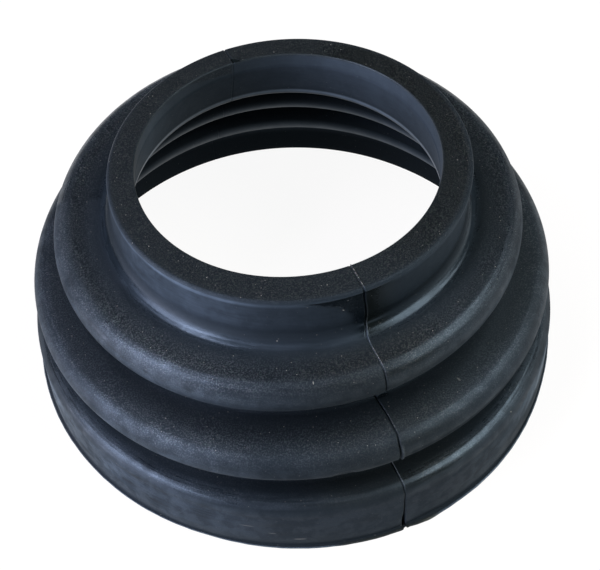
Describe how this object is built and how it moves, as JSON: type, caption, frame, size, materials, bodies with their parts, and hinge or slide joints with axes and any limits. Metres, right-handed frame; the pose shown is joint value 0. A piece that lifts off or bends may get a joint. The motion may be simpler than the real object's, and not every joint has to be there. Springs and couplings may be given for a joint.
{
  "type": "rubber bellows boot",
  "caption": "Stepped conical rubber bellows boot with a thick clamp collar at the small end, two convolutions and a wide skirt.",
  "frame": {"origin": "on the boot's axis, in the plane of the skirt's foot", "axes": "+Z along the boot's axis from the wide skirt to the small collar, +X to the right seen from the front"},
  "size_m": [0.12, 0.12, 0.05],
  "materials": {
    "rubber": "satin"
  },
  "bodies": {
    "root": {"bellows_boot": "rubber"}
  },
  "joints": []
}
